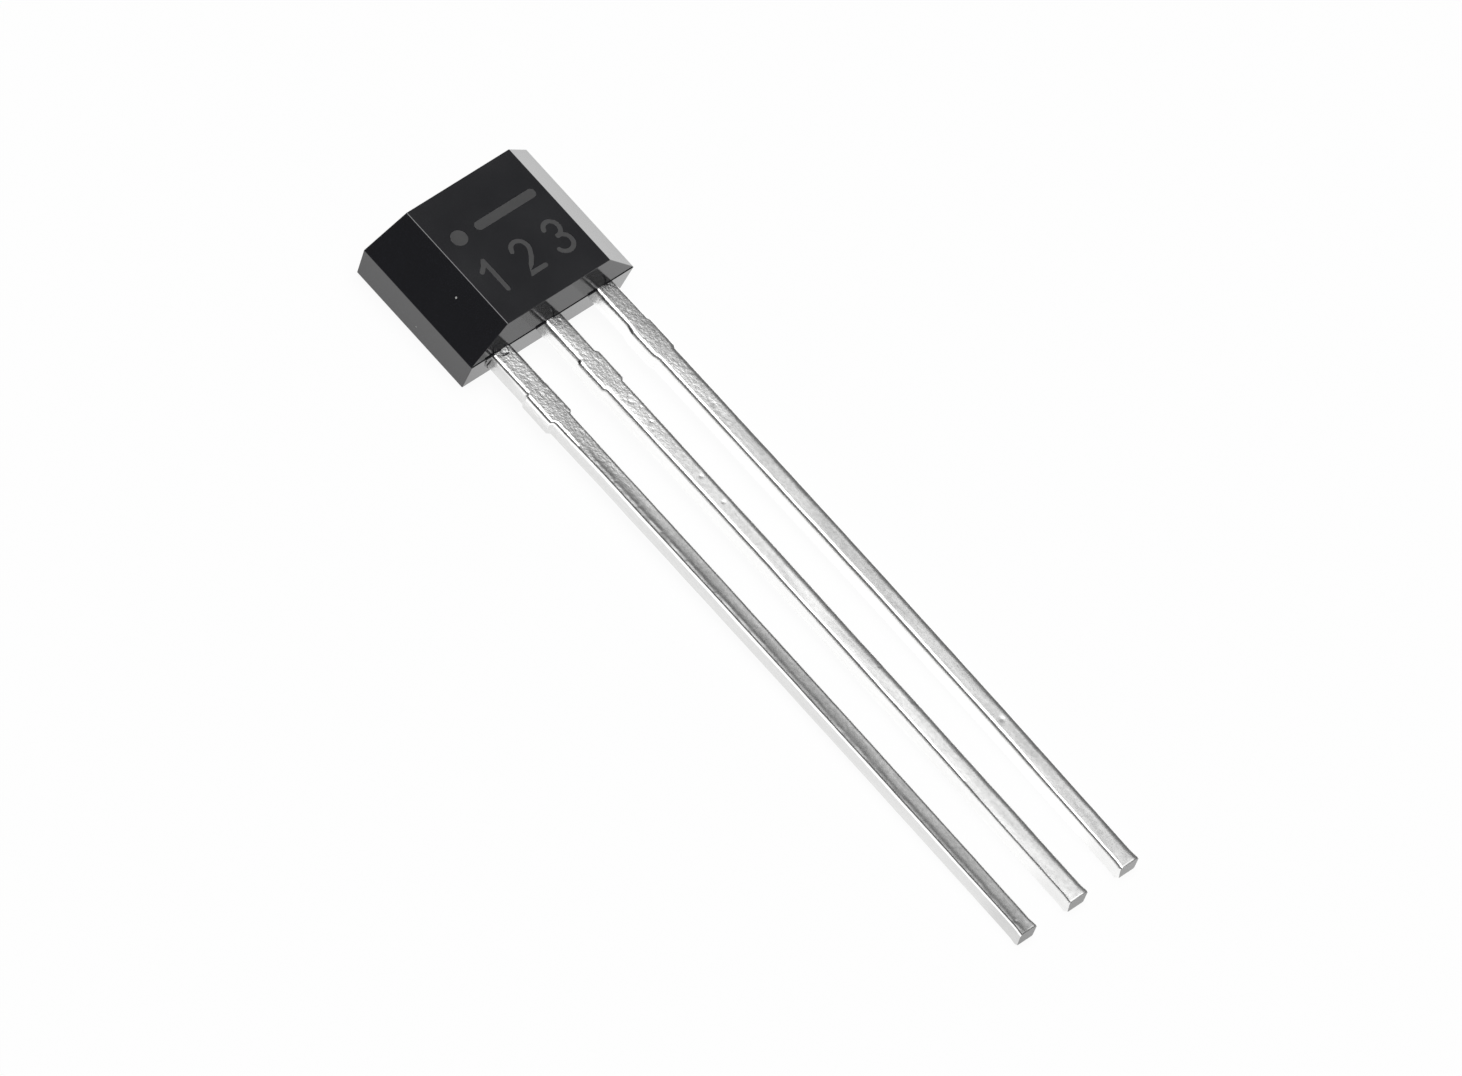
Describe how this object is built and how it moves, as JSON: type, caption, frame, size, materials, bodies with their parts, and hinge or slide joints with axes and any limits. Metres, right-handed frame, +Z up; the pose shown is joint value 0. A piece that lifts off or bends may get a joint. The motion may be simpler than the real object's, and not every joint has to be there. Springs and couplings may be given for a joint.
{
  "type": "hall effect sensor",
  "caption": "Flat through-hole Hall effect sensor: a bevelled black epoxy package with parallel tin-plated leads, lying on its back.",
  "frame": {"origin": "middle of the package's back face, on the surface that the loose sensor lies on", "axes": "+X across the leads from the supply lead to the output lead, -Y along the leads, +Z up out of the marked face; the sensor leans 1.47 degrees about X, from the package's lower edge onto its lead tips"},
  "size_m": [0.004, 0.0178, 0.0016],
  "materials": {
    "epoxy": "black moulding compound, polished by the mould",
    "tin_plate": "tin plating over copper, reflowed and faintly rippled",
    "silicon": "sawn silicon with a polished top",
    "die_adhesive": "silver-filled epoxy",
    "gold": "drawn gold wire"
  },
  "bodies": {
    "root": {"moulded_body": "epoxy", "supply_lead": "tin_plate", "ground_lead": "tin_plate", "output_lead": "tin_plate", "die_attach": "die_adhesive", "sensor_die": "silicon", "supply_wire": "gold", "ground_wire": "gold", "output_wire": "gold"}
  },
  "joints": []
}
